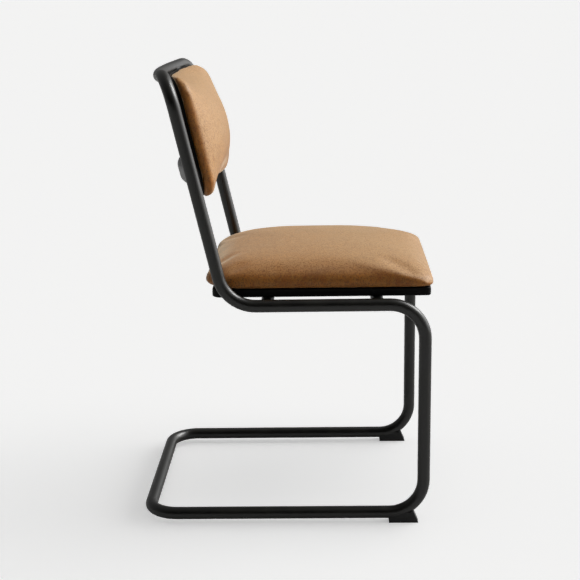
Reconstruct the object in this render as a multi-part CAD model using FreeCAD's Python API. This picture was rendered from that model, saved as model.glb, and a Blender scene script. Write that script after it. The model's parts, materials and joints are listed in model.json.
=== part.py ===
import FreeCAD
import Part
import math
import os

# Cantilever dining chair, millimetres
# X points forward, Y to the sitter's left, Z up, origin on the floor under the middle of the chair

Vector = FreeCAD.Vector

# Tube frame
tube_diameter = 22.0
tube_wall = 2.0
frame_width = 434.0          # outside to outside
base_length = 490.0          # rear floor rail to front legs, centre to centre
seat_tube_height = 397.0     # centre line of the seat sides
leg_rake = 2.3               # leg tops stand this far ahead of the feet
upright_distance = 342.0     # leg tops to the foot of the uprights, corner to corner
back_height = 788.0          # corner of upright and top rail, centre lines
back_lean = 12.6             # degrees
top_rail_angle = 14.0        # degrees that the top rail sweeps back from each corner
top_bend_radius = 56.0
seat_bend_radius = 64.5
front_bend_radius = 60.5
foot_bend_radius = 61.0
rear_bend_radius = 52.0

# Joint sleeves inside the two butt joints
sleeve_length = 70.0
sleeve_wall = 2.0
sleeve_clearance = 0.1

# Cross tubes under the seat, and the flat-oval lower back rail
crossbar_wall = 1.5
lower_rail_height = 36.0
lower_rail_thickness = 20.0
lower_rail_end = 5.0         # ends this far inside the uprights' centre lines
crossbar_spacing = 190.0     # front crossbar to rear crossbar
front_crossbar_setback = 82.0    # leg tops to front crossbar
lower_rail_drop = 168.8      # below the top corners, along the uprights
rail_fit_gap = 0.3           # lower rail to the board that it carries
cope_gap = 0.05              # fit-up gap of a tube welded to another

# Seat board and cushion
seat_overhang = 19.0         # cushion front ahead of the feet of the legs
board_length = 378.0
board_thickness = 15.0
board_front_corner = 8.0
board_rear_corner = 16.0
board_edge_round = 2.5
cushion_side_gap = 0.8       # cushion side to upright
cushion_side_bulge = 5.0     # beyond the board
cushion_front_bulge = 6.0
cushion_rear_bulge = 13.5
cushion_bulge_height = 7.0
cushion_height = 58.0
crown_exponent = 2.3
cushion_front_corner = 24.0  # at the widest line
cushion_rear_corner = 62.0
front_corner_growth = 1.6    # corner radius gained for each millimetre above the widest line
rear_corner_growth = 0.3
leather_thickness = 1.4
hem_width = 25.0
panel_thickness = 9.0
panel_inset = 3.0

# Back board and cushion
pad_width = 374.0
pad_height = 210.0
pad_corner_radius = 48.0
pad_drop = 110.0             # pad centre below the top corners, along the uprights
back_board_thickness = 6.0
back_panel_thickness = 8.0
pad_side = 8.0               # straight part of the pad's edge
pad_edge_rise = 21.0         # rounded part of the edge
pad_edge_reach = 33.0
pad_crown = 17.0
pad_crown_exponent = 6.0
pad_end_margin = 0.6

# Fasteners
bolt_diameter = 6.0
bolt_hole_clearance = 0.5
bolt_head_diameter = 11.0
bolt_head_height = 3.3
bolt_socket = 4.0            # across flats
bolt_socket_depth = 2.0
bolt_end_gap = 1.0           # shank ends short of the foam
bolt_seat_gap = 0.05         # head to a curved rail
nut_flange_diameter = 19.0
nut_flange_thickness = 1.4
nut_barrel_diameter = 8.0
nut_bore_clearance = 0.1
seat_bolt_span = 260.0       # side to side
upper_bolt_span = 200.0
lower_bolt_span = 40.0
lug_width = 24.0
lug_thickness = 3.0
lug_length = 52.0
lug_top_drop = 2.0           # lug ends this far below the rail's centre line
lug_bolt_drop = 40.0         # below the top rail's centre line
staple_crown = 10.0
staple_wire = 0.9
staple_leg = 6.0
staple_pitch = 45.0
staple_inset = 12.0          # in from the edge of the inner panel
staple_cover = 0.2           # leather left over the crown

# Glides
glide_height = 6.0
glide_width = 20.0
glide_length = 52.0
glide_front_lean = 8.0
glide_rise = 19.0
rear_glide_length = 34.0
rear_glide_width = 9.0
rear_glide_span = 260.0
screw_diameter = 3.5
screw_head_diameter = 6.4
screw_head_height = 2.4
screw_recess = 1.2
screw_engagement = 4.0       # past the tube's inner wall

# Worked out from the sizes above
tube_radius = tube_diameter / 2
half_width = frame_width / 2 - tube_radius
board_width = 2 * (half_width - tube_radius - cushion_side_gap - cushion_side_bulge)
lean = math.radians(back_lean)
floor_rail_height = glide_height + tube_radius
leg_foot_x = (base_length + tube_radius - seat_overhang) / 2
leg_top_x = leg_foot_x + leg_rake
rear_rail_x = leg_foot_x - base_length
upright_foot_x = leg_top_x - upright_distance
up_back = Vector(-math.sin(lean), 0, math.cos(lean))
upright_length = (back_height - seat_tube_height) / math.cos(lean)
sweep = math.radians(top_rail_angle)
rail_radius = (half_width - top_bend_radius * math.cos(sweep)) / math.sin(sweep)
rail_set_back = top_bend_radius * math.sin(sweep) + rail_radius * (1 - math.cos(sweep))
board_radii = (board_rear_corner, board_front_corner)
panel_radii = (cushion_rear_corner - cushion_side_bulge, cushion_front_corner - cushion_side_bulge)
board_bottom = seat_tube_height + tube_radius
board_top = board_bottom + board_thickness
seat_centre_x = leg_foot_x + seat_overhang - cushion_front_bulge - board_length / 2
front_crossbar_x = leg_top_x - front_crossbar_setback
rear_crossbar_x = front_crossbar_x - crossbar_spacing
pad_centre_rise = upright_length - pad_drop
rail_front_radius = rail_radius - tube_radius
pad_back_radius = rail_front_radius - back_board_thickness
lower_rail_radius = rail_front_radius + rail_fit_gap + lower_rail_thickness / 2


def bend(before, corner, after, radius):
    """Start, middle and end of the arc that rounds a corner of a path."""
    to_before = (before - corner).normalize()
    to_after = (after - corner).normalize()
    opening = to_before.getAngle(to_after)
    reach = radius / math.tan(opening / 2)
    inward = (to_before + to_after).normalize()
    centre = corner + inward * (radius / math.sin(opening / 2))
    return corner + to_before * reach, centre - inward * radius, corner + to_after * reach


def rounded_path(points, radii):
    """Straight edges joined by tangent arcs, one radius for each inner point."""
    edges = []
    start = points[0]
    for index, radius in enumerate(radii):
        first, middle, last = bend(points[index], points[index + 1], points[index + 2], radius)
        edges.append(Part.LineSegment(start, first).toShape())
        edges.append(Part.Arc(first, middle, last).toShape())
        start = last
    edges.append(Part.LineSegment(start, points[-1]).toShape())
    return edges


def rod(edges, radius):
    """Solid round bar along a path of edges."""
    first = edges[0]
    start = first.valueAt(first.FirstParameter)
    along = first.tangentAt(first.FirstParameter)
    profile = Part.Wire(Part.Circle(start, along, radius).toShape())
    return Part.Wire(edges).makePipeShell([profile], True, False)


def cylinder(start, end, radius):
    return Part.makeCylinder(radius, (end - start).Length, start, end - start)


def box(low, high):
    size = high - low
    return Part.makeBox(size.x, size.y, size.z, low)


def back_place(rise):
    """Local frame on the back: X to the front, Y sideways, Z up along the uprights."""
    origin = Vector(upright_foot_x, 0, seat_tube_height) + up_back * rise
    return FreeCAD.Placement(origin, FreeCAD.Rotation(Vector(0, 1, 0), -back_lean))


def placed(shape, placement):
    moved = shape.copy()
    moved.transformShape(placement.toMatrix())
    return moved


def moved(shape, place):
    copy = shape.copy()
    copy.translate(place)
    return copy


def group(shapes):
    return Part.makeCompound(shapes)


def largest(shape):
    return max(shape.Solids, key=lambda solid: solid.Volume)


# Frame

def frame_corners(side):
    """Corners of one half's centre line before they are rounded, from the back down to the floor."""
    y = side * half_width
    return {"top": back_place(upright_length).multVec(Vector(0, y, 0)),
            "upright_foot": Vector(upright_foot_x, y, seat_tube_height),
            "leg_top": Vector(leg_top_x, y, seat_tube_height),
            "leg_foot": Vector(leg_foot_x, y, floor_rail_height),
            "rear": Vector(rear_rail_x, y, floor_rail_height),
            "rear_middle": Vector(rear_rail_x, 0, floor_rail_height)}


def rail_point(angle):
    """Point of the top rail's long arc, at an angle from the middle."""
    centre = rail_radius - rail_set_back
    local = Vector(centre - rail_radius * math.cos(angle), rail_radius * math.sin(angle), 0)
    return back_place(upright_length).multVec(local)


def rail_arc(start, end):
    return Part.Arc(rail_point(start), rail_point((start + end) / 2), rail_point(end)).toShape()


def frame_path(side):
    """Centre line of one half, from the middle of the top rail to the middle of the floor rail."""
    corners = frame_corners(side)
    corner_arc = bend(rail_point(side * sweep), corners["top"], corners["upright_foot"], top_bend_radius)
    points = [corner_arc[2]] + list(corners.values())[1:]
    radii = [seat_bend_radius, front_bend_radius, foot_bend_radius, rear_bend_radius]
    return [rail_arc(0.0, side * sweep), Part.Arc(*corner_arc).toShape()] + rounded_path(points, radii)


def straight_tubes(start, end):
    """The same straight stretch on both sides, as the cutter for the copes of what meets it."""
    pairs = [(frame_corners(side)[start], frame_corners(side)[end]) for side in (-1, 1)]
    return group([cylinder(first, last, tube_radius + cope_gap) for first, last in pairs])


def joint_sleeves():
    outer = tube_radius - tube_wall - sleeve_clearance
    inner = outer - sleeve_wall
    half_angle = sleeve_length / 2 / rail_radius
    arc = [rail_arc(-half_angle, half_angle)]
    ends = [Vector(rear_rail_x, side * sleeve_length / 2, floor_rail_height) for side in (-1, 1)]
    line = [Part.LineSegment(*ends).toShape()]
    return [rod(path, outer).cut(rod(path, inner)) for path in (arc, line)]


def crossbar(x, holes):
    ends = [Vector(x, side * half_width, seat_tube_height) for side in (-1, 1)]
    tube = cylinder(ends[0], ends[1], tube_radius)
    bore = cylinder(ends[0], ends[1], tube_radius - crossbar_wall)
    return tube.cut(bore).cut(straight_tubes("upright_foot", "leg_top")).cut(holes)


def flat_oval(height, thickness):
    """Face with straight sides along Z and half-round ends, square to Y."""
    half = thickness / 2
    straight = height / 2 - half
    high, low = Vector(0, 0, straight + half), Vector(0, 0, -straight - half)
    corners = [Vector(sx * half, 0, sz * straight) for sx, sz in ((-1, -1), (-1, 1), (1, 1), (1, -1))]
    edges = [Part.LineSegment(corners[0], corners[1]), Part.Arc(corners[1], high, corners[2]),
             Part.LineSegment(corners[2], corners[3]), Part.Arc(corners[3], low, corners[0])]
    return Part.Face(Part.Wire([edge.toShape() for edge in edges]))


def curved_bar(face, radius, half_angle):
    """A face swept round the rails' common centre line, in the back's frame."""
    profile = moved(face, Vector(-radius, 0, 0))
    profile.rotate(Vector(0, 0, 0), Vector(0, 0, 1), math.degrees(half_angle))
    bar = profile.revolve(Vector(0, 0, 0), Vector(0, 0, -1), 2 * math.degrees(half_angle))
    return moved(bar, Vector(rail_radius - rail_set_back, 0, 0))


def lower_rail(holes):
    """Flat-oval tube between the uprights, curved round the same centre line as the back board."""
    half_angle = math.asin(half_width / lower_rail_radius)
    bore = flat_oval(lower_rail_height - 2 * crossbar_wall, lower_rail_thickness - 2 * crossbar_wall)
    tube = curved_bar(flat_oval(lower_rail_height, lower_rail_thickness), lower_rail_radius, half_angle)
    tube = placed(tube.cut(curved_bar(bore, lower_rail_radius, half_angle)),
                  back_place(upright_length - lower_rail_drop))
    middle = back_place(upright_length - lower_rail_drop).Base
    reach = Vector(base_length, half_width - lower_rail_end, base_length)
    tube = tube.cut(straight_tubes("upright_foot", "top")).common(box(middle - reach, middle + reach))
    return tube.cut(holes)


# Rounded plates and cushions

def rounded_rectangle(half_x, half_y, radii, z):
    """Closed outline round the origin at height z, with the corner radii of its rear and front."""
    edges = []
    corners = [(1, 1), (-1, 1), (-1, -1), (1, -1)]
    radius_at = {sx: min(radius, half_x - 1, half_y - 1) for sx, radius in zip((-1, 1), radii)}
    for index, (sx, sy) in enumerate(corners):
        radius = radius_at[sx]
        diagonal = radius * (1 - math.sqrt(0.5))
        on_side = Vector(sx * half_x, sy * (half_y - radius), z)
        on_end = Vector(sx * (half_x - radius), sy * half_y, z)
        middle = Vector(sx * (half_x - diagonal), sy * (half_y - diagonal), z)
        start, end = (on_side, on_end) if sx == sy else (on_end, on_side)
        next_sx, next_sy = corners[(index + 1) % 4]
        if next_sy == sy:
            following = Vector(next_sx * (half_x - radius_at[next_sx]), sy * half_y, z)
        else:
            following = Vector(sx * half_x, next_sy * (half_y - radius), z)
        edges.append(Part.Arc(start, middle, end).toShape())
        edges.append(Part.LineSegment(end, following).toShape())
    return Part.Wire(edges)


def plate(half_x, half_y, radii, low, high):
    face = Part.Face(rounded_rectangle(half_x, half_y, radii, low))
    return face.extrude(Vector(0, 0, high - low))


def crowned_block(skin):
    """Seat cushion form, drawn in by the thickness of the skin."""
    front = board_length / 2 + cushion_front_bulge - skin
    rear = -board_length / 2 - cushion_rear_bulge + skin
    half_y = board_width / 2 + cushion_side_bulge - skin
    low = board_top + skin
    widest = board_top + cushion_bulge_height
    crown = cushion_height - cushion_bulge_height - skin
    levels = []
    for height, share in ((low, 1.0), (low + (widest - low) * 0.45, 0.3), (widest, 0.0)):
        side_inset = cushion_side_bulge * share
        radii = (cushion_rear_corner - side_inset, cushion_front_corner - side_inset)
        levels.append((height, side_inset, cushion_front_bulge * share, cushion_rear_bulge * share, radii))
    for share in (0.35, 0.58, 0.75, 0.87, 0.95, 0.985):
        inset = half_y * (1 - (1 - share ** crown_exponent) ** (1 / crown_exponent))
        radii = [min(radius + growth * crown * share, (half_y - inset) * 0.8) for radius, growth in
                 ((cushion_rear_corner, rear_corner_growth), (cushion_front_corner, front_corner_growth))]
        levels.append((widest + crown * share, inset, inset, inset, radii))
    rings = []
    for height, side_inset, front_inset, rear_inset, radii in levels:
        ends = (front - front_inset, rear + rear_inset)
        ring = rounded_rectangle((ends[0] - ends[1]) / 2, half_y - side_inset, radii, height)
        rings.append(moved(ring, Vector((ends[0] + ends[1]) / 2, 0, 0)))
    form = Part.makeLoft(rings, True, False)
    form.translate(Vector(seat_centre_x, 0, 0))
    return form


def seat_staple_spots():
    """Middle of each staple and whether it lies along X."""
    spots = []
    reach_x = board_length / 2 - panel_inset - staple_inset
    reach_y = board_width / 2 - panel_inset - staple_inset
    for along, across, lengthwise in ((reach_x, reach_y, True), (reach_y, reach_x, False)):
        straight = along + staple_inset - max(panel_radii)
        count = int(2 * straight / staple_pitch)
        for number in range(count + 1):
            place = (number - count / 2) * staple_pitch
            for side in (-1, 1):
                spots.append((place, side * across, True) if lengthwise else (side * across, place, False))
    return spots


def staple():
    """Crown below, two legs up, centred under the origin."""
    half, thick = staple_crown / 2, staple_wire / 2
    outer = box(Vector(-half, -thick, 0), Vector(half, thick, staple_leg))
    inner = box(Vector(staple_wire - half, -thick, staple_wire), Vector(half - staple_wire, thick, staple_leg))
    return outer.cut(inner)


def bolt(length):
    """Button-head bolt: head's seat at the origin, shank up along Z."""
    shank = Part.makeCylinder(bolt_diameter / 2, length)
    head_radius = bolt_head_diameter / 2
    dome_radius = (head_radius ** 2 + bolt_head_height ** 2) / (2 * bolt_head_height)
    dome = Part.makeSphere(dome_radius, Vector(0, 0, dome_radius - bolt_head_height))
    head = dome.common(Part.makeCylinder(head_radius, bolt_head_height, Vector(0, 0, -bolt_head_height)))
    corner = bolt_socket / math.sqrt(3)
    ring = [Vector(corner * math.cos(k * math.pi / 3), corner * math.sin(k * math.pi / 3), -bolt_head_height)
            for k in range(7)]
    key = Part.Face(Part.makePolygon(ring)).extrude(Vector(0, 0, bolt_socket_depth))
    return shank.fuse(head).cut(key)


def tee_nut(barrel):
    """Flange above the origin, barrel down along Z."""
    flange = Part.makeCylinder(nut_flange_diameter / 2, nut_flange_thickness)
    tube = Part.makeCylinder(nut_barrel_diameter / 2, barrel, Vector(0, 0, -barrel))
    bore = Part.makeCylinder(bolt_diameter / 2 + nut_bore_clearance, barrel + nut_flange_thickness,
                             Vector(0, 0, -barrel))
    return flange.fuse(tube).cut(bore)


def with_hem(shell, hem, opening, staples):
    """Leather shell whose turned-under hem leaves an opening and room for the staples."""
    return shell.cut(hem).fuse(hem.cut(opening).cut(staples)).removeSplitter()


# Seat

def seat_parts(spots):
    """Board, panel, foam, cover, bolts, nuts and staples. spots are the bolts' x and y."""
    panel_low = board_top + leather_thickness
    panel_high = panel_low + panel_thickness
    bolt_seat = seat_tube_height - tube_radius
    bolt_length = panel_high - bolt_end_gap - bolt_seat
    bolts = [moved(bolt(bolt_length), Vector(x, y, bolt_seat)) for x, y in spots]
    nuts = [moved(tee_nut(panel_thickness), Vector(x, y, panel_high)) for x, y in spots]
    hole_radius = (bolt_diameter + bolt_hole_clearance) / 2
    holes = group([cylinder(Vector(x, y, bolt_seat), Vector(x, y, panel_high), hole_radius)
                   for x, y in spots])
    barrels = group([cylinder(Vector(x, y, panel_low), Vector(x, y, panel_high), nut_barrel_diameter / 2)
                     for x, y in spots])
    flanges = group([cylinder(Vector(x, y, panel_high), Vector(x, y, panel_high + nut_flange_thickness),
                              nut_flange_diameter / 2) for x, y in spots])
    staples = []
    for x, y, lengthwise in seat_staple_spots():
        one = staple()
        if not lengthwise:
            one.rotate(Vector(0, 0, 0), Vector(0, 0, 1), 90)
        staples.append(moved(one, Vector(x + seat_centre_x, y, board_top + staple_cover)))
    staples = group(staples)
    centre = Vector(seat_centre_x, 0, 0)
    board = plate(board_length / 2, board_width / 2, board_radii, board_bottom, board_top)
    rim = [edge for edge in board.Edges if abs(edge.BoundBox.ZLength) < 0.01]
    board = moved(board.makeFillet(board_edge_round, rim), centre).cut(holes)
    panel = plate(board_length / 2 - panel_inset, board_width / 2 - panel_inset, panel_radii,
                  panel_low, panel_high)
    panel = moved(panel, centre)
    inside = crowned_block(leather_thickness)
    foam = inside.cut(panel).cut(flanges)
    hem = plate(board_length / 2 - panel_inset, board_width / 2 - panel_inset, panel_radii,
                board_top, panel_low)
    opening = plate(board_length / 2 - hem_width, board_width / 2 - hem_width, board_radii,
                    board_top, panel_low)
    cover = with_hem(crowned_block(0.0).cut(inside), moved(hem, centre), moved(opening, centre), staples)
    panel = panel.cut(barrels).cut(staples)
    return board, panel, foam, cover, group(bolts), group(nuts), staples, holes


# Back, in its own frame: X to the front from the uprights' centre plane, Z up from the pad's centre

def back_shell(outer_radius, inner_radius, half_height):
    """Upright curved wall between two radii about the rails' common centre line."""
    centre = Vector(rail_radius - rail_set_back, 0, -half_height)
    wall = Part.makeCylinder(outer_radius, 2 * half_height, centre)
    return wall.cut(Part.makeCylinder(inner_radius, 2 * half_height, centre))


def upright_plate(half_y, half_z, radius, low, high):
    """Rounded rectangle standing square to X."""
    flat = plate(half_z, half_y, (radius, radius), low, high)
    flat.rotate(Vector(0, 0, 0), Vector(0, 1, 0), 90)
    return flat


def pad_depth(y, z, half_y, half_z, radius, skin):
    """Height of the pad's front above the pad's back at one point."""
    qy = abs(y) - (half_y - radius)
    qz = abs(z) - (half_z - radius)
    inward = radius - math.hypot(max(qy, 0), max(qz, 0)) - min(max(qy, qz), 0)
    roll = 1 - min(max(inward, 0) / pad_edge_reach, 1)
    crown = pad_crown * (1 - (z / half_z) ** 2) * (1 - abs(y / half_y) ** pad_crown_exponent)
    blend = min(1, max(inward, 0) / (pad_edge_reach / 2))
    return pad_side + pad_edge_rise * math.sqrt(1 - roll ** 2) + crown * blend - skin


def pad_section(y, half_y, half_z, radius, skin):
    """Upright slice of the pad: back line, edges and three arcs for the crowned front."""
    outward = max(abs(y) - (half_y - radius), 0)
    top = half_z - radius + math.sqrt(max(radius ** 2 - outward ** 2, 0))
    roll = min(pad_edge_reach, top * 0.8)
    centre = rail_radius - rail_set_back
    back = centre - math.sqrt(pad_back_radius ** 2 - y ** 2)

    def front(z):
        return Vector(back + pad_depth(y, z, half_y, half_z, radius, skin), y, z)

    edge = back + pad_side - skin
    behind = back - back_board_thickness
    corners = [Vector(behind, y, -top), Vector(edge, y, -top), Vector(edge, y, top), Vector(behind, y, top)]
    inner = top - roll
    near_edge = top - roll * 0.25
    lines = [Part.LineSegment(corners[3], corners[0]).toShape(),
             Part.LineSegment(corners[0], corners[1]).toShape(),
             Part.Arc(corners[1], front(-near_edge), front(-inner)).toShape(),
             Part.Arc(front(-inner), front(0), front(inner)).toShape(),
             Part.Arc(front(inner), front(near_edge), corners[2]).toShape(),
             Part.LineSegment(corners[2], corners[3]).toShape()]
    return Part.Wire(lines)


def pad_block(skin):
    """Back cushion form, drawn in by the thickness of the skin, with its back on the curved board."""
    half_y = pad_width / 2 - skin
    half_z = pad_height / 2 - skin
    radius = pad_corner_radius - skin
    outer = half_y - pad_end_margin
    shares = [0.0, 0.37, 0.64, 0.775, 0.87, 0.935, 0.975, 1.0]
    stations = [-outer * share for share in reversed(shares)] + [outer * share for share in shares[1:]]
    sections = [pad_section(y, half_y, half_z, radius, skin) for y in stations]
    form = Part.makeLoft(sections, True, False)
    face_radius = pad_back_radius - skin
    behind = back_shell(rail_radius + pad_height, face_radius, pad_height)
    return form.cut(behind)


def turned(shape, angle, radius, z):
    """A piece with its base at the origin and its height along Z, set square on the curved board.

    Its height points to the front, its foot is at the given radius, angle and height."""
    one = shape.copy()
    one.rotate(Vector(0, 0, 0), Vector(0, 1, 0), 90)
    one.translate(Vector(-radius, 0, z))
    one.rotate(Vector(0, 0, 0), Vector(0, 0, 1), -math.degrees(angle))
    one.translate(Vector(rail_radius - rail_set_back, 0, 0))
    return one


def back_staple_spots():
    """Angle round the board, height and whether the staple stands upright."""
    spots = []
    reach_y = pad_width / 2 - panel_inset - staple_inset
    reach_z = pad_height / 2 - panel_inset - staple_inset
    straight_y = pad_width / 2 - pad_corner_radius
    straight_z = pad_height / 2 - pad_corner_radius
    count = int(2 * straight_y / staple_pitch)
    for number in range(count + 1):
        y = (number - count / 2) * staple_pitch
        for side in (-1, 1):
            spots.append((math.asin(y / pad_back_radius), side * reach_z, False))
    for z in (-straight_z * 0.7, straight_z * 0.7):
        for side in (-1, 1):
            spots.append((math.asin(side * reach_y / pad_back_radius), z, True))
    return spots


def back_parts():
    """Board, panel, foam, cover, lugs, bolts, nuts and staples, in the back's frame."""
    half_y = pad_width / 2
    half_z = pad_height / 2
    rail_rise = upright_length - pad_centre_rise
    lower_rise = rail_rise - lower_rail_drop
    lug_rise = rail_rise - lug_bolt_drop
    angle = math.asin(upper_bolt_span / 2 / rail_radius)
    lower_angle = math.asin(lower_bolt_span / 2 / lower_rail_radius)
    low_radius = pad_back_radius - leather_thickness
    high_radius = low_radius - back_panel_thickness
    reach = half_y + pad_height
    board = back_shell(rail_front_radius, pad_back_radius, half_z)
    behind = box(Vector(-reach, -reach, -reach), Vector(reach / 2, reach, reach))
    board = board.common(upright_plate(half_y, half_z, pad_corner_radius, -reach, reach)).common(behind)
    outline = upright_plate(half_y - panel_inset, half_z - panel_inset, pad_corner_radius - panel_inset,
                            -reach, reach)
    panel = back_shell(low_radius, high_radius, half_z)
    panel = panel.common(outline).common(behind)
    upper_seat = rail_front_radius + lug_thickness
    lower_seat = lower_rail_radius + lower_rail_thickness / 2 + bolt_seat_gap
    places = [(side * angle, upper_seat, lug_rise) for side in (-1, 1)]
    places += [(side * lower_angle, lower_seat, lower_rise) for side in (-1, 1)]
    bolts, nuts, holes, barrels, flanges = [], [], [], [], []
    hole_radius = (bolt_diameter + bolt_hole_clearance) / 2
    barrel = Part.makeCylinder(nut_barrel_diameter / 2, back_panel_thickness)
    flange = Part.makeCylinder(nut_flange_diameter / 2, nut_flange_thickness)
    for turn, seat, z in places:
        length = seat - high_radius - bolt_end_gap
        bolts.append(turned(bolt(length), turn, seat, z))
        nuts.append(turned(tee_nut(back_panel_thickness), turn, high_radius, z))
        holes.append(turned(Part.makeCylinder(hole_radius, seat - high_radius), turn, seat, z))
        barrels.append(turned(barrel, turn, low_radius, z))
        flanges.append(turned(flange, turn, high_radius, z))
    staples = []
    for turn, z, standing in back_staple_spots():
        one = staple()
        if not standing:
            one.rotate(Vector(0, 0, 0), Vector(0, 0, 1), 90)
        staples.append(turned(one, turn, pad_back_radius - staple_cover, z))
    staples = group(staples)
    lugs = []
    for side in (-1, 1):
        lug = box(Vector(-lug_length, -lug_width / 2, 0), Vector(0, lug_width / 2, lug_thickness))
        lug = turned(lug, side * angle, rail_front_radius + lug_thickness, 0)
        lugs.append(moved(lug, Vector(0, 0, rail_rise - lug_top_drop - lug_length)))
    inside = pad_block(leather_thickness)
    flanges = group(flanges)
    foam = inside.cut(panel).cut(flanges)
    hem = back_shell(pad_back_radius, low_radius, half_z).common(outline).common(behind)
    opening = upright_plate(half_y - hem_width, half_z - hem_width, pad_corner_radius - hem_width,
                            -reach, reach)
    cover = with_hem(pad_block(0.0).cut(inside).cut(panel), hem, opening, staples)
    panel = panel.cut(flanges).cut(group(barrels)).cut(staples)
    holes = group(holes)
    board = board.cut(holes)
    return board, panel, foam, cover, lugs, bolts, group(nuts), staples, holes


# Glides

def front_glide(side):
    """Wedge under the foot bend: upright rear face, top following the tube, front leaning back."""
    rear = leg_foot_x - foot_bend_radius
    front = rear + glide_length
    y = side * half_width
    points = [Vector(rear, 0, 0), Vector(front, 0, 0), Vector(front - glide_front_lean, 0, glide_rise),
              Vector(rear, 0, glide_rise), Vector(rear, 0, 0)]
    wedge = Part.Face(Part.makePolygon(points)).extrude(Vector(0, glide_width, 0))
    corners = frame_corners(side)
    bent = rod(rounded_path([corners["leg_top"], corners["leg_foot"], corners["rear"]], [foot_bend_radius]),
               tube_radius)
    return largest(moved(wedge, Vector(0, y - glide_width / 2, 0)).cut(bent))


def rear_glide(side):
    """Narrow pad under the rear floor rail, its top following the tube."""
    high = floor_rail_height
    half_x = rear_glide_width / 2
    half_y = rear_glide_length / 2
    y = side * rear_glide_span / 2
    block = box(Vector(rear_rail_x - half_x, y - half_y, 0), Vector(rear_rail_x + half_x, y + half_y, high))
    corners = frame_corners(side)
    return block.cut(cylinder(corners["rear"], corners["rear_middle"], tube_radius))


def glide_screw(x, y, tube_bottom):
    """Countersunk screw up through a glide into the tube."""
    head_low = screw_recess
    neck = head_low + screw_head_height
    tip = tube_bottom + tube_wall + screw_engagement
    head = Part.makeCone(screw_head_diameter / 2, screw_diameter / 2, screw_head_height,
                         Vector(x, y, head_low))
    return head.fuse(cylinder(Vector(x, y, neck), Vector(x, y, tip), screw_diameter / 2))


def screw_recess_hole(x, y):
    return cylinder(Vector(x, y, 0), Vector(x, y, screw_recess), screw_head_diameter / 2)


# Assembly

def main():
    os.makedirs("parts", exist_ok=True)
    nodes = {}
    spots = [(x, side * seat_bolt_span / 2) for x in (front_crossbar_x, rear_crossbar_x) for side in (-1, 1)]
    board, panel, foam, cover, bolts, nuts, staples, holes = seat_parts(spots)
    nodes["seat_board"] = board
    nodes["seat_inner_panel"] = panel
    nodes["seat_foam"] = foam
    nodes["seat_cover"] = cover
    nodes["seat_bolts"] = bolts
    nodes["seat_tee_nuts"] = nuts
    nodes["seat_staples"] = staples
    nodes["front_seat_crossbar"] = crossbar(front_crossbar_x, holes)
    nodes["rear_seat_crossbar"] = crossbar(rear_crossbar_x, holes)

    place = back_place(pad_centre_rise)
    board, panel, foam, cover, lugs, bolts, nuts, staples, holes = back_parts()
    holes = placed(holes, place)
    nodes["back_board"] = placed(board, place)
    nodes["back_inner_panel"] = placed(panel, place)
    nodes["back_foam"] = placed(foam, place)
    nodes["back_cover"] = placed(cover, place)
    nodes["back_upper_bolts"] = placed(group(bolts[:2]), place)
    nodes["back_lower_bolts"] = placed(group(bolts[2:]), place)
    nodes["back_tee_nuts"] = placed(nuts, place)
    nodes["back_staples"] = placed(staples, place)
    rail = rod([rail_arc(-sweep, sweep)], tube_radius + cope_gap)
    nodes["back_lugs"] = group([largest(placed(lug, place).cut(rail)) for lug in lugs]).cut(holes)
    nodes["lower_back_rail"] = lower_rail(holes)

    top_sleeve, base_sleeve = joint_sleeves()
    nodes["top_joint_sleeve"] = top_sleeve
    nodes["base_joint_sleeve"] = base_sleeve

    rear_of_bend = leg_foot_x - foot_bend_radius
    front_screw_x = rear_of_bend + glide_length * 0.2
    bend_drop = foot_bend_radius + tube_radius
    bend_bottom = glide_height + bend_drop - math.sqrt(bend_drop ** 2 - (front_screw_x - rear_of_bend) ** 2)
    screws = []
    for name, side in (("right", -1), ("left", 1)):
        front_y = side * half_width
        rear_y = side * rear_glide_span / 2
        pair = group([glide_screw(front_screw_x, front_y, bend_bottom),
                      glide_screw(rear_rail_x, rear_y, glide_height)])
        recesses = group([screw_recess_hole(front_screw_x, front_y), screw_recess_hole(rear_rail_x, rear_y)])
        path = frame_path(side)
        nodes["front_glide_" + name] = front_glide(side).cut(pair).cut(recesses)
        nodes["rear_glide_" + name] = rear_glide(side).cut(pair).cut(recesses)
        nodes["frame_half_" + name] = rod(path, tube_radius).cut(rod(path, tube_radius - tube_wall)).cut(pair)
        screws += pair.Solids
    nodes["glide_screws"] = group(screws)

    for name, shape in nodes.items():
        shape.exportStep("parts/" + name + ".step")
        box_of = shape.BoundBox
        print(name, "solids", len(shape.Solids), "volume", round(shape.Volume), "valid", shape.isValid(),
              "x", round(box_of.XMin, 1), round(box_of.XMax, 1), "y", round(box_of.YMin, 1),
              round(box_of.YMax, 1), "z", round(box_of.ZMin, 1), round(box_of.ZMax, 1))


main()
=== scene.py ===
import bpy
import json
import math
from mathutils import Matrix, Vector


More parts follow.
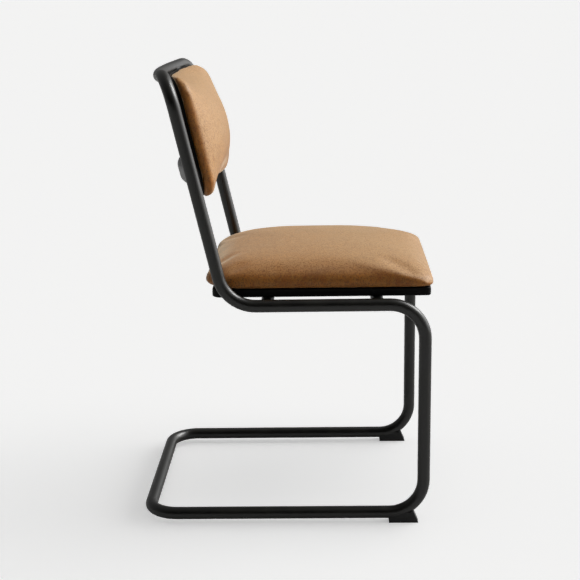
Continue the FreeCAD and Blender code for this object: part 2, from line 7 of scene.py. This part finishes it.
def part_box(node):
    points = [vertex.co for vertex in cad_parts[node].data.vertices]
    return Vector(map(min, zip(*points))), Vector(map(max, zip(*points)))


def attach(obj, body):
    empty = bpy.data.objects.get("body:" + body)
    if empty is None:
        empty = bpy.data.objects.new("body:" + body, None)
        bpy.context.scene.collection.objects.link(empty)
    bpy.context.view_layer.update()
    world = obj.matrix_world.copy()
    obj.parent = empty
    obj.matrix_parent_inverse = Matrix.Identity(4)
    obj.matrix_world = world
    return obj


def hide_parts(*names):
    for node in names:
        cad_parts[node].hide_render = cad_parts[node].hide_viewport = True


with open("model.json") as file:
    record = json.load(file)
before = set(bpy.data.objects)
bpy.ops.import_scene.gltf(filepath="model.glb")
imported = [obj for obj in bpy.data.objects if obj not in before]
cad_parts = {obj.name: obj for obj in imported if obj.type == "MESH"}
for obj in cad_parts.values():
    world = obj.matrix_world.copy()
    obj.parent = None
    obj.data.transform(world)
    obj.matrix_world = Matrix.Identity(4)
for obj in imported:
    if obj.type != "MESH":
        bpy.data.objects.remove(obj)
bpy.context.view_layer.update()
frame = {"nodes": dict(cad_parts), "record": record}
nodes = frame["nodes"]
bpy.ops.object.select_all(action="DESELECT")
print("frame loaded:", len(nodes), "nodes")

mm = 0.001   # everything below is typed in millimetres


# Colours and nodes

# '#rrggbb' as a colour picker shows it, turned to linear
def srgb(hexColour):
    values = [int(hexColour[i:i + 2], 16) / 255 for i in (1, 3, 5)]
    return tuple(v / 12.92 if v <= 0.04045 else ((v + 0.055) / 1.055) ** 2.4 for v in values) + (1.0,)


# One node with its settings, and its sockets linked or typed in
def addNode(tree, kind, links=None, **settings):
    node = tree.nodes.new(kind)
    for name, value in settings.items():
        setattr(node, name, value)
    for socket, value in (links or {}).items():
        if isinstance(value, bpy.types.NodeSocket):
            tree.links.new(value, node.inputs[socket])
        else:
            node.inputs[socket].default_value = value
    return node


# Empty material with a Principled shader. preview is its colour in the viewport
def newMaterial(name, preview):
    material = bpy.data.materials.new(name)
    material.use_nodes = True
    material.diffuse_color = preview
    tree = material.node_tree
    tree.nodes.clear()
    shader = addNode(tree, "ShaderNodeBsdfPrincipled")
    addNode(tree, "ShaderNodeOutputMaterial", {"Surface": shader.outputs["BSDF"]})
    return material, tree, shader


# Noise whose blotches are about size millimetres across. Gives a value round 0.5
def spotty(tree, place, size, detail=3.0, rough=0.55, stretch=(1, 1, 1)):
    scaled = addNode(tree, "ShaderNodeMapping", {"Vector": place, "Scale": stretch})
    blotches = addNode(tree, "ShaderNodeTexNoise", {
        "Vector": scaled.outputs["Vector"], "Scale": 1 / (size * mm), "Detail": detail, "Roughness": rough})
    return blotches.outputs["Fac"]


# Stretches the part of a value between low and high, and holds it there
def spread(tree, value, low, high, newLow=0.0, newHigh=1.0):
    return addNode(tree, "ShaderNodeMapRange", {
        "Value": value, "From Min": low, "From Max": high,
        "To Min": newLow, "To Max": newHigh}).outputs["Result"]


def blendColours(tree, share, first, second, mode="MIX"):
    return addNode(tree, "ShaderNodeMix", {"Factor": share, "A": first, "B": second},
                   data_type="RGBA", blend_type=mode).outputs["Result"]


# Materials

leather = {
    "tan": "#bb7427",
    "darkTan": "#98581b",
    "paleTan": "#b67c37",
    "paintedSheen": "#b79060",    # painted sheen: paler colour on faces turned up and forward, towards the key light
    "paintedSheenFrom": (0.7, 0.0, 0.75),         # the way the faces that get the painted sheen point
    "pore": "#7a4a1a",
    "cloudSize": 38.0,      # mm, uneven dye
    "mottleSize": 9.0,
    "grainSize": 2.6,       # the real grain is near 1 mm, drawn coarser so that it shows
    "scratchSize": 22.0,
    "roughness": (0.52, 0.66),
    "grainHeight": 0.2,
    "streakSize": 3.2,      # mm, short dark upright streaks
    "sheen": 0.5,
}


# Aniline-dyed leather with a buffed, soft grain: dull and uneven in colour, with a painted sheen that makes
# faces turned up and forward paler
def makeLeather():
    material, tree, shader = newMaterial("tan_buffed_leather", srgb(leather["tan"]))
    place = addNode(tree, "ShaderNodeTexCoord").outputs["Object"]
    cloud = spread(tree, spotty(tree, place, leather["cloudSize"], 4.0), 0.36, 0.64)
    mottle = spread(tree, spotty(tree, place, leather["mottleSize"], 5.0, 0.65), 0.38, 0.66)
    grain = spotty(tree, place, leather["grainSize"], 2.0, 0.7)
    pores = spread(tree, grain, 0.36, 0.5, 0.8, 0.0)
    colour = blendColours(tree, cloud, srgb(leather["darkTan"]), srgb(leather["tan"]))
    colour = blendColours(tree, spread(tree, mottle, 0.0, 1.0, 0.0, 0.55), colour, srgb(leather["paleTan"]))
    # painted sheen: faces turned up and forward are blended to a paler colour, as lit faces look
    facing = addNode(tree, "ShaderNodeAttribute", attribute_name="painted_sheen_share").outputs["Fac"]
    paintedSheen = spread(tree, facing, 0.42, 0.8, 0.0, 0.88)
    colour = blendColours(tree, paintedSheen, colour, srgb(leather["paintedSheen"]))
    scratches = spotty(tree, place, leather["scratchSize"], 3.0, 0.6, (1, 9, 5))
    marks = spread(tree, scratches, 0.56, 0.68, 0.0, 0.45)
    colour = blendColours(tree, marks, colour, srgb(leather["paleTan"]))
    upright = spotty(tree, place, leather["streakSize"], 3.0, 0.7, (1.6, 1.6, 0.45))
    streaks = spread(tree, upright, 0.50, 0.66, 0.0, 0.6)
    colour = blendColours(tree, pores, colour, srgb(leather["pore"]))
    colour = blendColours(tree, streaks, colour, srgb(leather["pore"]))
    cells = addNode(tree, "ShaderNodeTexVoronoi", {
        "Vector": place, "Scale": 1 / (leather["grainSize"] * mm)}, feature="SMOOTH_F1").outputs["Distance"]
    height = addNode(tree, "ShaderNodeMath", {0: cells, 1: grain}, operation="ADD").outputs[0]
    bump = addNode(tree, "ShaderNodeBump", {
        "Strength": 0.55, "Distance": leather["grainHeight"] * mm, "Height": height})
    low, high = leather["roughness"]
    tree.links.new(colour, shader.inputs["Base Color"])
    tree.links.new(spread(tree, mottle, 0.0, 1.0, high, low), shader.inputs["Roughness"])
    tree.links.new(bump.outputs["Normal"], shader.inputs["Normal"])
    shader.inputs["Specular IOR Level"].default_value = 0.5
    shader.inputs["Sheen Weight"].default_value = leather["sheen"]
    shader.inputs["Sheen Roughness"].default_value = 0.33
    shader.inputs["Sheen Tint"].default_value = srgb("#fff0d0")
    return material


powderCoat = {
    "black": "#0e0d0a",
    "dusty": "#17160f",
    "peelSize": 2.2,        # mm, the coat's orange peel
    "peelHeight": 0.05,
    "roughness": (0.32, 0.4),
}


# Satin polyester powder coat on steel tube: near black, with a faint orange peel that softens its gloss
def makePowderCoat():
    material, tree, shader = newMaterial("satin_black_powder_coat", srgb(powderCoat["black"]))
    place = addNode(tree, "ShaderNodeTexCoord").outputs["Object"]
    patches = spread(tree, spotty(tree, place, 35.0, 4.0), 0.35, 0.65)
    peel = spotty(tree, place, powderCoat["peelSize"], 1.0, 0.4)
    colour = blendColours(tree, patches, srgb(powderCoat["black"]), srgb(powderCoat["dusty"]))
    bump = addNode(tree, "ShaderNodeBump", {
        "Strength": 0.5, "Distance": powderCoat["peelHeight"] * mm, "Height": peel})
    low, high = powderCoat["roughness"]
    tree.links.new(colour, shader.inputs["Base Color"])
    tree.links.new(spread(tree, patches, 0.0, 1.0, low, high), shader.inputs["Roughness"])
    tree.links.new(bump.outputs["Normal"], shader.inputs["Normal"])
    shader.inputs["Specular IOR Level"].default_value = 0.66
    return material


blackPly = {
    "black": "#090706",
    "worn": "#141110",
    "plyThickness": 1.5,    # mm, one layer of veneer
    "figureSize": 4.0,
}


# Birch plywood sprayed with black lacquer: the layers still show faintly as ridges along its edge
def makeBlackPly():
    material, tree, shader = newMaterial("black_lacquered_plywood", srgb(blackPly["black"]))
    place = addNode(tree, "ShaderNodeTexCoord").outputs["Object"]
    figure = spotty(tree, place, blackPly["figureSize"], 3.0, 0.6, (0.06, 1, 1))
    layers = addNode(tree, "ShaderNodeTexWave", {
        "Vector": place, "Scale": 1 / (blackPly["plyThickness"] * mm * math.tau),
        "Distortion": 0.6, "Detail": 2.0}, bands_direction="Z").outputs["Fac"]
    share = spread(tree, figure, 0.4, 0.7, 0.0, 0.7)
    colour = blendColours(tree, share, srgb(blackPly["black"]), srgb(blackPly["worn"]))
    ridges = addNode(tree, "ShaderNodeBump", {"Strength": 0.3, "Distance": 0.06 * mm, "Height": layers})
    bump = addNode(tree, "ShaderNodeBump", {
        "Strength": 0.35, "Distance": 0.05 * mm, "Height": figure, "Normal": ridges.outputs["Normal"]})
    tree.links.new(colour, shader.inputs["Base Color"])
    tree.links.new(spread(tree, figure, 0.3, 0.7, 0.45, 0.6), shader.inputs["Roughness"])
    tree.links.new(bump.outputs["Normal"], shader.inputs["Normal"])
    shader.inputs["Specular IOR Level"].default_value = 0.12
    return material


# Black polyamide from a spark-eroded mould: dull and even, scuffed grey where it meets the floor
def makeGlidePlastic():
    material, tree, shader = newMaterial("black_moulded_polyamide", srgb("#171716"))
    place = addNode(tree, "ShaderNodeTexCoord").outputs["Object"]
    eroded = spotty(tree, place, 1.1, 2.0, 0.6)
    scuffs = spotty(tree, place, 3.5, 4.0, 0.7, (0.3, 1, 1))
    height = addNode(tree, "ShaderNodeSeparateXYZ", {"Vector": place}).outputs["Z"]
    nearFloor = spread(tree, height, 0.0, 2.5 * mm, 0.8, 0.0)
    worn = addNode(tree, "ShaderNodeMath", {0: nearFloor, 1: scuffs}, operation="MULTIPLY").outputs[0]
    colour = blendColours(tree, worn, srgb("#171716"), srgb("#5a5854"))
    bump = addNode(tree, "ShaderNodeBump", {"Strength": 0.4, "Distance": 0.05 * mm, "Height": eroded})
    tree.links.new(colour, shader.inputs["Base Color"])
    tree.links.new(spread(tree, eroded, 0.3, 0.7, 0.5, 0.62), shader.inputs["Roughness"])
    tree.links.new(bump.outputs["Normal"], shader.inputs["Normal"])
    return material


# Small steel fastener: plated or oxidised, with fine turning marks
def makeMetal(name, colour, darker, roughness, metallic):
    material, tree, shader = newMaterial(name, srgb(colour))
    place = addNode(tree, "ShaderNodeTexCoord").outputs["Object"]
    patches = spotty(tree, place, 3.0, 4.0, 0.6)
    mixed = blendColours(tree, spread(tree, patches, 0.35, 0.65), srgb(colour), srgb(darker))
    tree.links.new(mixed, shader.inputs["Base Color"])
    tree.links.new(spread(tree, patches, 0.3, 0.7, roughness, roughness + 0.15), shader.inputs["Roughness"])
    shader.inputs["Metallic"].default_value = metallic
    return material


# Raw beech plywood, unseen under the leather
def makeRawPly():
    material, tree, shader = newMaterial("raw_beech_plywood", srgb("#c9a578"))
    place = addNode(tree, "ShaderNodeTexCoord").outputs["Object"]
    figure = spotty(tree, place, 5.0, 4.0, 0.6, (0.05, 1, 1))
    colour = blendColours(tree, spread(tree, figure, 0.35, 0.7), srgb("#cfae84"), srgb("#a98255"))
    tree.links.new(colour, shader.inputs["Base Color"])
    shader.inputs["Roughness"].default_value = 0.7
    return material


# Cut polyurethane foam, unseen under the leather
def makeFoam():
    material, tree, shader = newMaterial("cut_foam", srgb("#e6e0c8"))
    place = addNode(tree, "ShaderNodeTexCoord").outputs["Object"]
    cells = spotty(tree, place, 1.5, 3.0, 0.7)
    colour = blendColours(tree, spread(tree, cells, 0.35, 0.65), srgb("#e8e3cc"), srgb("#cfc6a4"))
    tree.links.new(colour, shader.inputs["Base Color"])
    shader.inputs["Roughness"].default_value = 0.95
    return material


materials = {
    "leather": makeLeather(),
    "frame_steel": makePowderCoat(),
    "black_ply": makeBlackPly(),
    "black_plastic": makeGlidePlastic(),
    "black_bolt": makeMetal("black_oxide_steel", "#26241f", "#3a3732", 0.34, 1.0),
    "zinc_steel": makeMetal("zinc_plated_steel", "#b9bcc0", "#8f9296", 0.28, 1.0),
    "plain_steel": makeMetal("mill_finish_steel", "#8c8a86", "#6b6965", 0.42, 1.0),
    "plywood": makeRawPly(),
    "foam": makeFoam(),
}
slotOf = {part["node"]: part["material_slot"] for part in frame["record"]["subparts"]}
for name, node in nodes.items():
    node.data.materials.clear()
    node.data.materials.append(materials[slotOf[name]])
print("materials made:", len(materials))


# Padded pieces

padding = {
    "voxel": 5.0,           # mm, the remesh before the cloth
    "pressure": 4.0,
    "frames": 20,
    "leatherMass": 0.9,     # kg for a square metre
    "stretch": 25,
    "bend": 12.0,
    "ease": 12,             # smoothing steps after the cloth
}


# New mesh object at the origin, from corners in millimetres
def meshObject(name, corners, faces):
    mesh = bpy.data.meshes.new(name)
    mesh.from_pydata([tuple(v * mm for v in corner) for corner in corners], [], faces)
    mesh.validate()
    piece = bpy.data.objects.new(name, mesh)
    bpy.context.scene.collection.objects.link(piece)
    bpy.ops.object.select_all(action="DESELECT")
    piece.select_set(True)
    bpy.context.view_layer.objects.active = piece
    return piece


# Skin over a stack of closed rings, with the first and the last one closed to a point
def ringsToMesh(name, rings):
    count = len(rings[0])
    corners = [point for ring in rings for point in ring]
    faces = []
    for row in range(len(rings) - 1):
        for k in range(count):
            after = (k + 1) % count
            below, above = row * count, (row + 1) * count
            faces.append((below + k, below + after, above + after, above + k))
    for row, turn in ((0, -1), (len(rings) - 1, 1)):
        middle = sum((Vector(point) for point in rings[row]), Vector()) / count
        corners.append(tuple(middle))
        centre = len(corners) - 1
        ring = [row * count + k for k in range(count)][::turn]
        faces += [(ring[k], ring[(k + 1) % count], centre) for k in range(count)]
    return meshObject(name, corners, faces)


def applyModifier(piece, kind, **settings):
    modifier = piece.modifiers.new(kind.title(), kind)
    for name, value in settings.items():
        setattr(modifier, name, value)
    bpy.context.view_layer.objects.active = piece
    bpy.ops.object.modifier_apply(modifier=modifier.name)


# Blows the leather up over its filling with a short cloth simulation. Points for which held is true stay
def stuff(piece, cap, held):
    form = piece.copy()
    form.data = piece.data.copy()
    bpy.context.scene.collection.objects.link(form)
    applyModifier(piece, "REMESH", mode="VOXEL", voxel_size=padding["voxel"] * mm)
    applyModifier(piece, "SHRINKWRAP", target=form, wrap_method="NEAREST_SURFACEPOINT")
    bpy.data.objects.remove(form)
    start = [vertex.co.copy() for vertex in piece.data.vertices]
    pinned = piece.vertex_groups.new(name="held")
    pinned.add([v.index for v in piece.data.vertices if held(v.co / mm)], 1.0, "REPLACE")
    cloth = piece.modifiers.new("Cloth", "CLOTH")
    cloth.settings.quality = 6
    cloth.settings.mass = padding["leatherMass"] * (padding["voxel"] * mm) ** 2
    cloth.settings.tension_stiffness = padding["stretch"]
    cloth.settings.compression_stiffness = padding["stretch"]
    cloth.settings.shear_stiffness = padding["stretch"] / 2
    cloth.settings.bending_stiffness = padding["bend"]
    cloth.settings.use_pressure = True
    cloth.settings.uniform_pressure_force = padding["pressure"]
    cloth.settings.vertex_group_mass = "held"
    cloth.settings.effector_weights.gravity = 0
    cloth.point_cache.frame_end = padding["frames"]
    for number in range(1, padding["frames"] + 1):
        bpy.context.scene.frame_set(number)
    bpy.ops.object.modifier_apply(modifier=cloth.name)
    for vertex, before in zip(piece.data.vertices, start):
        moved = vertex.co - before
        if moved.length > cap * mm:
            vertex.co = before + moved.normalized() * cap * mm
    piece.vertex_groups.clear()
    bpy.context.scene.frame_set(1)
    applyModifier(piece, "SMOOTH", factor=0.5, iterations=padding["ease"])
    applyModifier(piece, "SUBSURF", levels=1, render_levels=1)
    piece.data.shade_smooth()


# Stores on each point how far it faces up and forward, the mask of the leather's painted sheen
def markFacing(piece):
    piece.data.update()
    towards = Vector(leather["paintedSheenFrom"])
    facing = piece.data.attributes.new("painted_sheen_share", "FLOAT", "POINT")
    for vertex, stored in zip(piece.data.vertices, facing.data):
        stored.value = vertex.normal.dot(towards)


# Points of a rounded rectangle about the origin, the same number for any size.
# radii are those of the corners on the first axis' low and high end
def roundedOutline(halfA, halfB, radii, arcSteps=10, sideSteps=14):
    def onCorner(signA, signB, degrees):
        radius = radii[signA > 0]
        angle = math.radians(degrees)
        return (signA * (halfA - radius) + radius * math.cos(angle),
                signB * (halfB - radius) + radius * math.sin(angle))

    points = []
    corners = ((1, 1, 0), (-1, 1, 90), (-1, -1, 180), (1, -1, 270))
    for index, (signA, signB, start) in enumerate(corners):
        for step in range(arcSteps):
            points.append(onCorner(signA, signB, start + 90 * step / arcSteps))
        first = onCorner(signA, signB, start + 90)
        following = onCorner(*corners[(index + 1) % 4])
        for step in range(sideSteps):
            share = step / sideSteps
            points.append(tuple(a + (b - a) * share for a, b in zip(first, following)))
    return points


# Seat cushion

seatPad = {
    "widest": 7.0,          # mm above its bottom
    "ends": (-138.5, 260.0),
    "height": 52.7,
    "sideBulge": 4.0,       # widest line beyond its bottom
    "frontBulge": 2.5,
    "rearBulge": 1.5,
    "corners": (66.0, 24.0),        # corner radii in plan at the widest line, rear and front
    "cornerGrowth": (0.1, 1.9),     # gained for each millimetre above that
    "crowns": (3.0, 2.1),   # powers of the curves from the sides and from the ends to the top
    "crownSteps": 18,
    "tuckPower": 1.6,       # of the curve from its bottom to the widest line
    "startIn": 1.6,         # drawn in before the cloth swells
    "cap": 2.6,             # farthest that the cloth may push a point
    "halfWidth": 194.4,     # just clear of the uprights
}


def makeSeatCushion():
    low, high = (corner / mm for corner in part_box("seat_cover"))
    rearEnd, frontEnd = seatPad["ends"]
    centre = Vector(((rearEnd + frontEnd) / 2, 0, 0))
    shrink = seatPad["startIn"]
    halfX = (frontEnd - rearEnd) / 2 - shrink
    halfY = (high.y - low.y) / 2 - shrink
    bottom = low.z + 0.1
    widest = bottom + seatPad["widest"]
    rise = seatPad["height"] - seatPad["widest"] - shrink
    side, front, rear = (seatPad[name] for name in ("sideBulge", "frontBulge", "rearBulge"))
    # height, and how far the side, front and rear stand in from the widest line
    levels = [(bottom, *(bulge + 9 + (halfX - 30) * (1 - share) for bulge in (side, front, rear)))
              for share in (0.25, 0.6, 0.9)]
    levels.append((bottom, side + 1.5, front + 1.5, rear + 1.5))
    for share in (0.12, 0.35, 0.65, 1.0):
        tucked = (bulge * (1 - share) ** seatPad["tuckPower"] for bulge in (side, front, rear))
        levels.append((bottom + seatPad["widest"] * share, *tucked))
    steps = seatPad["crownSteps"]
    for step in range(1, steps + 1):
        share = min(math.sin(math.pi / 2 * step / steps), 0.9995)   # the last ring stays open
        fromSide, fromEnd = (halfY * (1 - (1 - share ** power) ** (1 / power))
                             for power in seatPad["crowns"])
        levels.append((widest + rise * share, fromSide, fromEnd, fromEnd))
    rings = []
    for height, sideIn, frontIn, rearIn in levels:
        radii = []
        for radius, growth in zip(seatPad["corners"], seatPad["cornerGrowth"]):
            radius += growth * (height - widest) if height > widest else -sideIn / 2
            radii.append(max(min(radius, (halfY - sideIn) * 0.8), 1.0))
        middle = centre.x + (rearIn - frontIn) / 2
        outline = roundedOutline(halfX - (rearIn + frontIn) / 2, halfY - sideIn, radii)
        rings.append([(middle + x, centre.y + y, height) for x, y in outline])
    piece = ringsToMesh("seat_leather", rings)
    stuff(piece, seatPad["cap"], lambda place: place.z < bottom + 1.0)
    reach = max(abs(vertex.co.x / mm - centre.x) for vertex in piece.data.vertices)
    across = max(abs(vertex.co.y) / mm for vertex in piece.data.vertices)
    top = max(vertex.co.z / mm for vertex in piece.data.vertices)
    for vertex in piece.data.vertices:
        x, y, z = vertex.co / mm
        x = centre.x + (x - centre.x) * (frontEnd - rearEnd) / 2 / reach
        z = bottom + max(z - bottom, 0) * seatPad["height"] / (top - bottom)
        vertex.co = Vector((x, y * seatPad["halfWidth"] / across, z)) * mm
    markFacing(piece)
    piece.data.materials.append(materials["leather"])
    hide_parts("seat_cover", "seat_foam")
    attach(piece, "root")
    return piece


# Back cushion, worked out on the back's own axes: c to the front, y sideways, b up along the uprights

backPad = {
    "lean": 12.6,           # degrees
    "middle": (-161.8, 0.0, 679.5),     # on the uprights' centre line
    "halfWidth": 186.6,
    "halfHeight": 105.8,
    "corner": 48.0,
    "railRadius": 627.0,    # of the top rail's long arc
    "railBack": 32.2,       # its middle behind the uprights
    "boardFront": 17.2,     # board's front ahead of the rails' centre line
    "side": 14.0,
    "edgeRise": 8.0,
    "edgeReach": 9.0,
    "crown": 50.5,
    "crownPower": 2.25,     # of its curve from end to end
    "crownReach": (94.0, 102.0),    # runs out this far below and above the middle
    "crownPowers": (2.6, 1.9),      # of its curve below and above the middle
    "crownRunIn": 30.0,     # in from the edge, over which it rises
    "topThinner": 7.0,      # at the top edge
    "topReach": 28.0,       # down from there
    "startIn": 1.5,
    "cap": 2.4,
}


# Point at c ahead of the curved back board's front
def backPoint(c, y, b):
    lean = math.radians(backPad["lean"])
    radius = backPad["railRadius"]
    sag = math.sqrt(radius ** 2 - y ** 2) - (radius - backPad["railBack"])
    ahead = backPad["boardFront"] + c - sag
    x0, y0, z0 = backPad["middle"]
    return (x0 + ahead * math.cos(lean) - b * math.sin(lean), y0 + y,
            z0 + ahead * math.sin(lean) + b * math.cos(lean))


# Turns backPoint round: how far a point is ahead of the board, sideways and up
def backAxes(place):
    lean = math.radians(backPad["lean"])
    offset = place - Vector(backPad["middle"])
    radius = backPad["railRadius"]
    sag = math.sqrt(radius ** 2 - offset.y ** 2) - (radius - backPad["railBack"])
    ahead = offset.dot(Vector((math.cos(lean), 0, math.sin(lean))))
    up = offset.dot(Vector((-math.sin(lean), 0, math.cos(lean))))
    return ahead - backPad["boardFront"] + sag, offset.y, up


# How far the cushion's front stands ahead of its back
def padFront(y, b, halfWidth, halfHeight, corner):
    qy = abs(y) - (halfWidth - corner)
    qb = abs(b) - (halfHeight - corner)
    inward = max(corner - math.hypot(max(qy, 0), max(qb, 0)) - min(max(qy, qb), 0), 0)
    roll = 1 - min(inward / backPad["edgeReach"], 1)
    reach, power = (backPad[name][b > 0] for name in ("crownReach", "crownPowers"))
    crown = backPad["crown"] * max(0, 1 - abs(b / reach) ** power)
    crown *= max(0, 1 - abs(y / halfWidth) ** backPad["crownPower"])
    crown *= 1 - (1 - min(inward / backPad["crownRunIn"], 1)) ** 2
    crown -= backPad["topThinner"] * max(0, 1 - (halfHeight - b) / backPad["topReach"]) ** 2
    return backPad["side"] + backPad["edgeRise"] * math.sqrt(1 - roll ** 2) + crown


def makeBackCushion():
    shrink = backPad["startIn"]
    halfWidth = backPad["halfWidth"] - shrink
    halfHeight = backPad["halfHeight"] - shrink
    corner = backPad["corner"] - shrink
    outline = roundedOutline(halfWidth, halfHeight, (corner, corner), 14, 10)
    back = 0.3
    rings = [[backPoint(back, y * share, b * share) for y, b in outline]
             for share in (0.05, 0.3, 0.6, 0.85, 0.985)]
    rings.append([backPoint(back + 1.2, y, b) for y, b in outline])
    rings.append([backPoint(backPad["side"] * 0.6, y, b) for y, b in outline])
    for step in range(1, 26):
        share = 1 - 0.985 * (1 - math.cos(math.pi / 2 * step / 25))
        ring = []
        for y, b in outline:
            front = padFront(y * share, b * share, halfWidth, halfHeight, corner) - shrink
            ring.append(backPoint(front, y * share, b * share))
        rings.append(ring)
    piece = ringsToMesh("back_leather", rings)
    stuff(piece, backPad["cap"], lambda place: backAxes(place)[0] < 1.2)
    places = [backAxes(vertex.co / mm) for vertex in piece.data.vertices]
    across = max(abs(y) for ahead, y, up in places)
    along = max(abs(up) for ahead, y, up in places)
    for vertex, (ahead, y, up) in zip(piece.data.vertices, places):
        y *= backPad["halfWidth"] / across
        up *= backPad["halfHeight"] / along
        vertex.co = Vector(backPoint(max(ahead, back), y, up)) * mm
    markFacing(piece)
    piece.data.materials.append(materials["leather"])
    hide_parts("back_cover", "back_foam")
    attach(piece, "root")
    return piece


seatCushion = makeSeatCushion()
backCushion = makeBackCushion()
print("cushions stuffed:", len(seatCushion.data.polygons), "and", len(backCushion.data.polygons), "faces")


# Floor, light and camera

studio = {
    "floor": "#f4f4f3",
    "floorGlow": 0.425,     # added for the camera alone, so that the floor looks as pale as the backdrop
    "backdrop": "#f2f2f2",
    "floorSize": 400.0,     # m, so that its far edge lies past the picture
    "strength": 0.86,
    "nearSide": 0.05,       # share of the light that comes from behind the camera
    "wallFrom": (0.96, 0.27, 0.08),         # towards the lit wall on the right
    "wallGain": (0.25, 4.3),        # darkest and brightest
    "wallPower": 4.0,
    "keyFrom": (0.70, 0.30, 0.65),  # towards the soft key lamp, up on the right behind the chair
    "keySize": 32.0,        # degrees across
    "keyStrength": 3.0,
    "topFrom": (0.22, 0.0, 1.0),    # towards the weak lamp above, for the floor alone
    "topSize": 50.0,
    "topStrength": 0.4,
}

viewpoint = {
    "place": (78.7, -2344.2, 948.7),
    "yaw": -1.79,           # degrees
    "pitch": -13.76,
    "roll": -1.08,
    "focalPixels": 1290.6,
    "imagePixels": 580,
    "sensor": 36.0,
}


def makeFloor():
    bpy.ops.mesh.primitive_plane_add(size=studio["floorSize"], location=(0, 0, 0))
    floor = bpy.context.active_object
    floor.name = "studio_floor"
    material, tree, shader = newMaterial("studio_paper", srgb(studio["floor"]))
    shader.inputs["Base Color"].default_value = srgb(studio["floor"])
    shader.inputs["Roughness"].default_value = 1.0
    shader.inputs["Specular IOR Level"].default_value = 0.0
    shader.inputs["Emission Color"].default_value = (1, 1, 1, 1)
    seen = addNode(tree, "ShaderNodeLightPath").outputs["Is Camera Ray"]
    glow = spread(tree, seen, 0.0, 1.0, 0.0, studio["floorGlow"])
    tree.links.new(glow, shader.inputs["Emission Strength"])
    floor.data.materials.append(material)
    return floor


# White studio on all sides, brighter on the right, with less light from behind the camera
def makeLight():
    world = bpy.data.worlds.new("studio")
    bpy.context.scene.world = world
    world.use_nodes = True
    tree = world.node_tree
    tree.nodes.clear()
    direction = addNode(tree, "ShaderNodeTexCoord").outputs["Generated"]
    towards = addNode(tree, "ShaderNodeVectorMath", {
        0: direction, 1: (0.0, -1.0, -0.15)}, operation="DOT_PRODUCT")
    share = spread(tree, towards.outputs["Value"], -0.25, 0.8, 1.0, studio["nearSide"])
    right = addNode(tree, "ShaderNodeVectorMath", {
        0: direction, 1: studio["wallFrom"]}, operation="DOT_PRODUCT")
    lobe = addNode(tree, "ShaderNodeMath", {
        0: spread(tree, right.outputs["Value"], 0.0, 1.0), 1: studio["wallPower"]},
        operation="POWER").outputs[0]
    low, high = studio["wallGain"]
    gain = spread(tree, lobe, 0.0, 1.0, low, high)
    both = addNode(tree, "ShaderNodeMath", {0: share, 1: gain}, operation="MULTIPLY").outputs[0]
    total = addNode(tree, "ShaderNodeMath", {
        0: both, 1: studio["strength"]}, operation="MULTIPLY").outputs[0]
    sky = addNode(tree, "ShaderNodeBackground", {"Color": (1, 1, 1, 1), "Strength": total})
    plain = addNode(tree, "ShaderNodeBackground", {"Color": srgb(studio["backdrop"]), "Strength": 1.0})
    seen = addNode(tree, "ShaderNodeLightPath").outputs["Is Camera Ray"]
    both = addNode(tree, "ShaderNodeMixShader", {0: seen, 1: sky.outputs[0], 2: plain.outputs[0]})
    addNode(tree, "ShaderNodeOutputWorld", {"Surface": both.outputs[0]})


# Soft lamp that lights the floor alone (state INCLUDE) or all but the floor (EXCLUDE)
def makeLamp(name, floor, state):
    lamp = bpy.data.lights.new(name + "_light", "SUN")
    lamp.energy = studio[name + "Strength"]
    lamp.angle = math.radians(studio[name + "Size"])
    holder = bpy.data.objects.new(name + "_light", lamp)
    holder.rotation_euler = Vector(studio[name + "From"]).to_track_quat("Z", "Y").to_euler()
    bpy.context.scene.collection.objects.link(holder)
    linked = bpy.data.collections.new("floor_for_" + name)
    linked.objects.link(floor)
    linked.collection_objects[0].light_linking.link_state = state
    holder.light_linking.receiver_collection = linked


def makeCamera():
    yaw, pitch, roll = (math.radians(viewpoint[name]) for name in ("yaw", "pitch", "roll"))
    ahead = Vector((math.sin(yaw) * math.cos(pitch), math.cos(yaw) * math.cos(pitch), math.sin(pitch)))
    right = Vector((math.cos(yaw), -math.sin(yaw), 0))
    up = right.cross(ahead)
    rolledRight = right * math.cos(roll) + up * math.sin(roll)
    rolledUp = up * math.cos(roll) - right * math.sin(roll)
    lens = bpy.data.cameras.new("photo_view")
    lens.sensor_width = viewpoint["sensor"]
    lens.lens = viewpoint["focalPixels"] / viewpoint["imagePixels"] * viewpoint["sensor"]
    lens.clip_end = 1000
    camera = bpy.data.objects.new("photo_view", lens)
    camera.matrix_world = Matrix((rolledRight, rolledUp, -ahead)).transposed().to_4x4()
    camera.location = Vector(viewpoint["place"]) * mm
    bpy.context.scene.collection.objects.link(camera)
    bpy.context.scene.camera = camera


studioFloor = makeFloor()
makeLamp("key", studioFloor, "EXCLUDE")
makeLamp("top", studioFloor, "INCLUDE")
makeLight()
makeCamera()
bpy.context.scene.view_settings.view_transform = "Standard"
print("studio ready")
